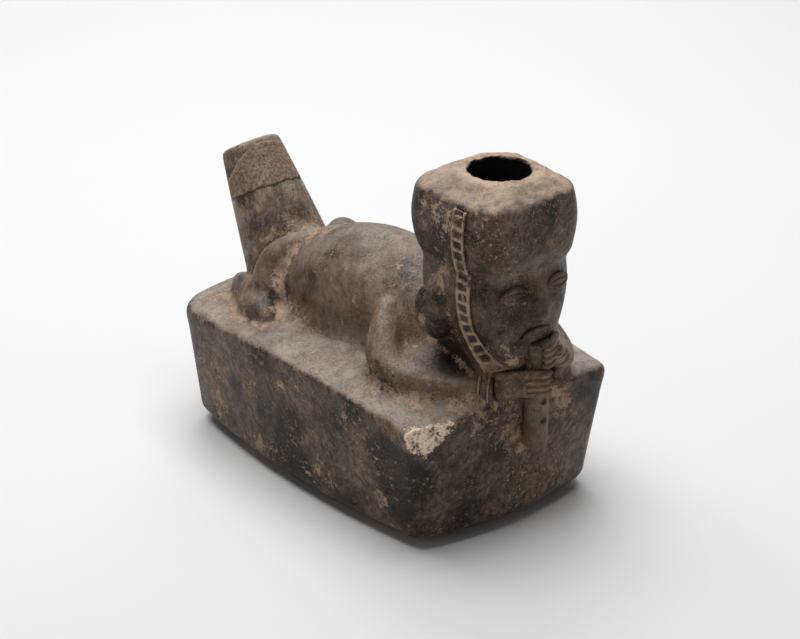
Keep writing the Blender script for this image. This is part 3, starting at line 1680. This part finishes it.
@dataclass
class Studio:
    """A plain pale floor, soft light from above and a camera at the photograph's angle."""

    azimuth: float = -38.9
    elevation: float = 25.5
    distance: float = 1.3177
    target: Place = (0.0097, 0.0, 0.0677)
    lens: float = 120.0
    lamps: tuple[Lamp, ...] = (
        Lamp("overhead", (0.05, 0.25, 1.30), (0.0, 0.0, 0.05), 1.2, 20.0),
        Lamp("rear_sheen", (0.95, 1.15, 0.95), (0.0, 0.0, 0.06), 1.1, 8.0),
        Lamp("left_fill", (-1.20, -0.20, 0.70), (0.0, 0.0, 0.06), 0.7, 0.8),
        Lamp("front_fill", (0.60, -1.30, 0.40), (0.0, 0.0, 0.05), 0.8, 1.0))
    room: Colour = (0.96, 0.95, 0.94)
    room_light: float = 0.08
    floor_half: float = 8.0
    floor_tones: tuple[Colour, Colour] = ((0.80, 0.80, 0.805), (0.84, 0.84, 0.84))

    def build(self) -> None:
        """Build floor, lamps, world and camera."""
        self._floor()
        for lamp in self.lamps:
            lamp.hang()
        world = bpy.data.worlds.new("soft_room")
        world.use_nodes = True
        background = world.node_tree.nodes["Background"]
        background.inputs["Color"].default_value = (*self.room, 1.0)
        background.inputs["Strength"].default_value = self.room_light
        bpy.context.scene.world = world
        self._camera()
        bpy.context.scene.view_settings.view_transform = "Standard"

    def _floor(self) -> None:
        """Lay the floor."""
        bm = bmesh.new()
        bmesh.ops.create_grid(bm, x_segments=1, y_segments=1, size=self.floor_half)
        mesh = bpy.data.meshes.new("floor")
        bm.to_mesh(mesh)
        bm.free()
        floor = bpy.data.objects.new("floor", mesh)
        bpy.context.scene.collection.objects.link(floor)
        paint = bpy.data.materials.new("pale_floor")
        paint.use_nodes = True
        graph = Graph(paint.node_tree)
        shader = paint.node_tree.nodes["Principled BSDF"]
        shader.inputs["Roughness"].default_value = 0.9
        shader.inputs["Specular IOR Level"].default_value = 0.1
        vector = graph.node("ShaderNodeTexCoord").outputs["Object"]
        cloud = graph.noise(vector, 3.0, 2.0, 0.5)
        graph.feed(shader.inputs["Base Color"], graph.mix(cloud, *self.floor_tones))
        mesh.materials.append(paint)

    def _camera(self) -> None:
        """Set up the camera."""
        turn = math.radians(self.azimuth)
        rise = math.radians(self.elevation)
        back = Vector((math.sin(turn) * math.cos(rise), -math.cos(turn) * math.cos(rise), math.sin(rise)))
        data = bpy.data.cameras.new("camera")
        data.lens = self.lens
        data.sensor_width = 36.0
        camera = bpy.data.objects.new("camera", data)
        camera.location = Vector(self.target) + back * self.distance
        camera.rotation_mode = "QUATERNION"
        camera.rotation_quaternion = (-back).to_track_quat("-Z", "Y")
        bpy.context.scene.collection.objects.link(camera)
        bpy.context.scene.camera = camera


@dataclass
class Bottle:
    """The whole bottle: skin pieces, applied pieces and their finishes."""

    body_nodes: tuple[str, ...] = (
        "base_tray", "deck", "spout", "spout_tip", "torso", "right_arm", "left_arm")
    limb_nodes: tuple[str, ...] = ("right_leg", "left_leg", "right_foot", "left_foot")
    head_nodes: tuple[str, ...] = ("head", "cap", "nose")
    ear_nodes: tuple[str, ...] = ("right_ear", "left_ear")

    def finishes(self, effects: SharedEffects) -> dict[Slot, bpy.types.Material]:
        """Build the finishes.

        Args:
            effects: The shared node groups.

        Returns:
            One material for each slot.
        """
        block = BlockFinish("block_clay_burnished")
        figure = ClayFinish("figure_clay_burnished", brown=(0.260, 0.176, 0.122), dust=0.50, wear=0.5,
                            settled=0.06, specks=0.45, grain=0.38)
        spout = SpoutFinish("spout_clay_burnished", dark=(0.026, 0.019, 0.015), brown=(0.520, 0.380, 0.282),
                            settled=0.25, grain=0.60)
        mend = SpoutFinish("mended_clay", gloss=0.62, brown=(0.430, 0.318, 0.238), grain=0.60)
        cap = CapFinish("cap_clay_worn", earth=(0.540, 0.405, 0.295), grain=0.65)
        made = {Slot.BLOCK: block, Slot.FIGURE: figure, Slot.SPOUT: spout, Slot.MEND: mend, Slot.CAP: cap}
        return {slot: finish.material(effects) for slot, finish in made.items()}

    @staticmethod
    def slot_of(node: str) -> Slot:
        """Tell the record's material slot of a solid.

        Args:
            node: The solid's node name.

        Returns:
            The slot.
        """
        special = {"base_tray": Slot.BLOCK, "deck": Slot.BLOCK, "spout": Slot.SPOUT, "spout_tip": Slot.MEND,
                   "cap": Slot.CAP}
        return special.get(node, Slot.FIGURE)

    def build(self) -> None:
        """Build every piece."""
        paints = self.finishes(SharedEffects())
        skin = ClaySkin(self.body_nodes, self.limb_nodes, self.head_nodes, self.ear_nodes)
        mesh = skin.drawn()
        skin.label(mesh)
        Weathering().apply(mesh, skin.share(mesh, ("base_tray", "deck", "cap")))
        measure_relief(mesh, *skin.relief_rounds)
        for node in skin.members:
            slot = self.slot_of(node)
            place(f"{node}_clay", skin.part(mesh, node), (node,), paints[slot])
        bpy.data.meshes.remove(mesh)
        for node in ("right_strap", "left_strap"):
            LadderStrap(node, f"{node}_clay", rounds=1).build(Slot.FIGURE, paints[Slot.CAP])
        fine = (Hand("right_hand", "right_hand_clay", rounds=5),
                Hand("left_hand", "left_hand_clay", rounds=5, middle=0.0906, knuckles=-1.0),
                Eye("right_eye", "right_eye_clay", swell=0.0003),
                Eye("left_eye", "left_eye_clay", swell=0.0003),
                Bangle("right_bangle_1", "right_bangle_1_clay", swell=-0.0004),
                Bangle("right_bangle_2", "right_bangle_2_clay", swell=-0.0004),
                FinePiece("flute", "flute_clay"), FinePiece("lips", "lips_clay"))
        for piece in fine:
            piece.build(Slot.FIGURE, paints[Slot.FIGURE])


def main() -> None:
    """Build the bottle and its studio in order."""
    logging.basicConfig(level=logging.INFO, format="%(message)s")
    Bottle().build()
    Studio().build()


if __name__ == "__main__":
    main()
